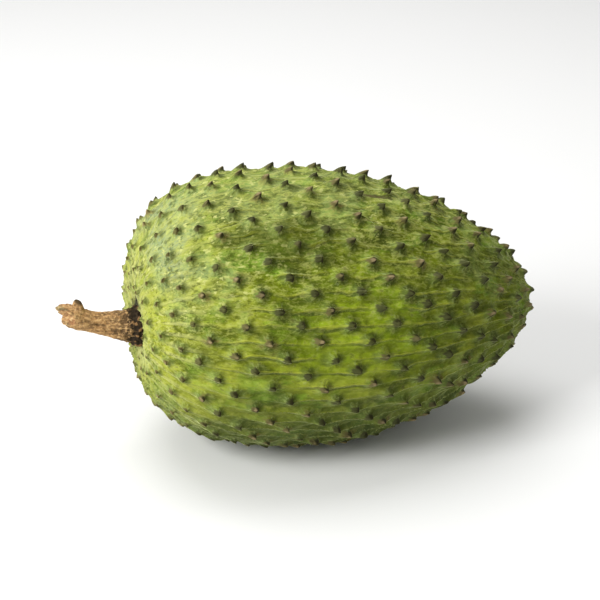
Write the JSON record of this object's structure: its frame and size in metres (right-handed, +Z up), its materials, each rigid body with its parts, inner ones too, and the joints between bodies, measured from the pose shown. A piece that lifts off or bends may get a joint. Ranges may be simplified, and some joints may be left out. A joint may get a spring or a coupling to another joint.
{
  "type": "soursop",
  "caption": "Whole soursop lying on its side: heart-shaped green fruit with soft hooked spines all over and a short woody stem.",
  "frame": {"origin": "under the middle of the fruit's box, on the surface it rests on", "axes": "+X along the fruit from the stem to the apex, so the stem points to -X; +Z up as it lies; Y across"},
  "size_m": [0.217, 0.1262, 0.1253],
  "materials": {
    "skin": "satin, mottled yellow-green with dark spine tips",
    "bark": "rough bark, matte"
  },
  "bodies": {
    "root": {"fruit": "skin", "stem": "bark"}
  },
  "joints": []
}
